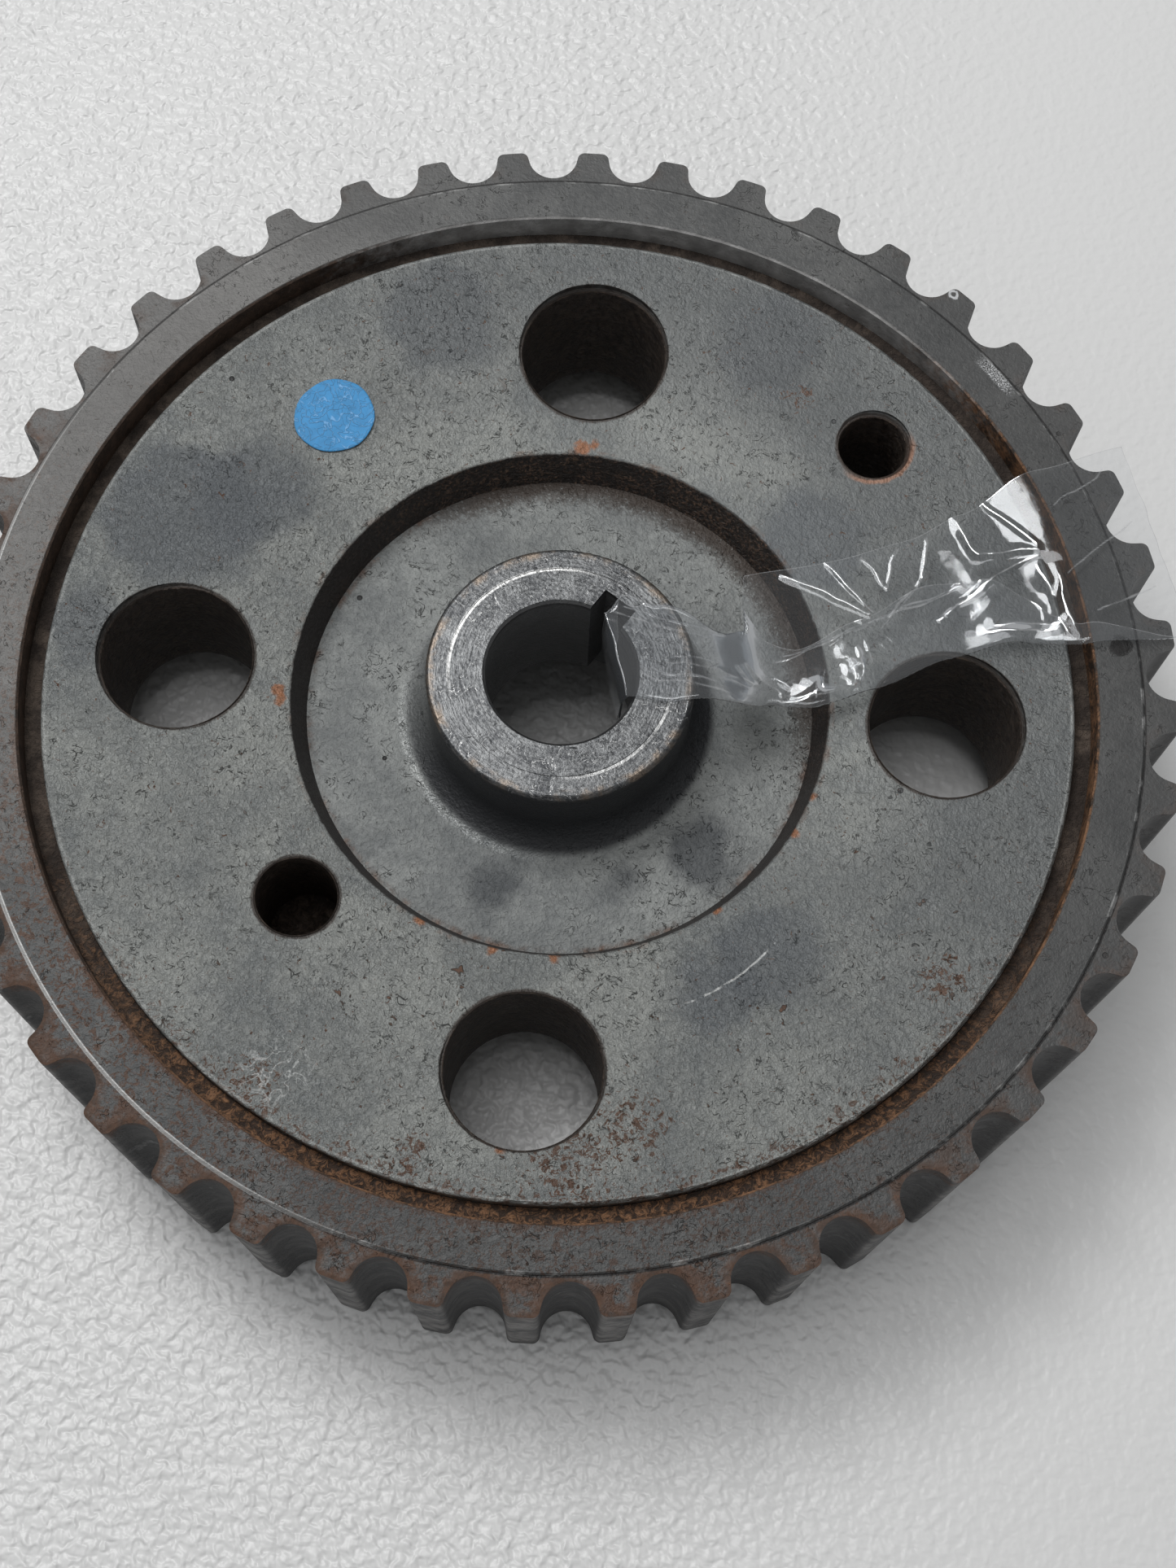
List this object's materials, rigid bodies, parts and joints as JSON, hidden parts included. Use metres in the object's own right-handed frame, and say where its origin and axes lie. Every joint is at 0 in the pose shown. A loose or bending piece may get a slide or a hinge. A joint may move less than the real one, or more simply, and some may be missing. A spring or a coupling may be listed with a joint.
{
  "type": "timing belt pulley",
  "caption": "Round-tooth timing belt pulley with a dished steel web, through holes, a recessed boss and a keyed bore, with a paper dot and a strip of clear tape.",
  "frame": {"origin": "on the shaft axis, in the plane of the rear side band that the pulley rests on", "axes": "+Z along the shaft axis towards the nose; +X through the centre of one large hole"},
  "size_m": [0.132, 0.132, 0.0301],
  "materials": {
    "rim_steel": "dark phosphate with rusty edges",
    "web_steel": "mottled phosphate",
    "hub_steel": "satin, bare on the nose",
    "blue_paper": "matt",
    "clear_film": "clear and glossy"
  },
  "bodies": {
    "root": {"toothed_rim": "rim_steel", "web_disc": "web_steel", "keyed_hub": "hub_steel", "paper_dot": "blue_paper", "film_tape": "clear_film"}
  },
  "joints": []
}
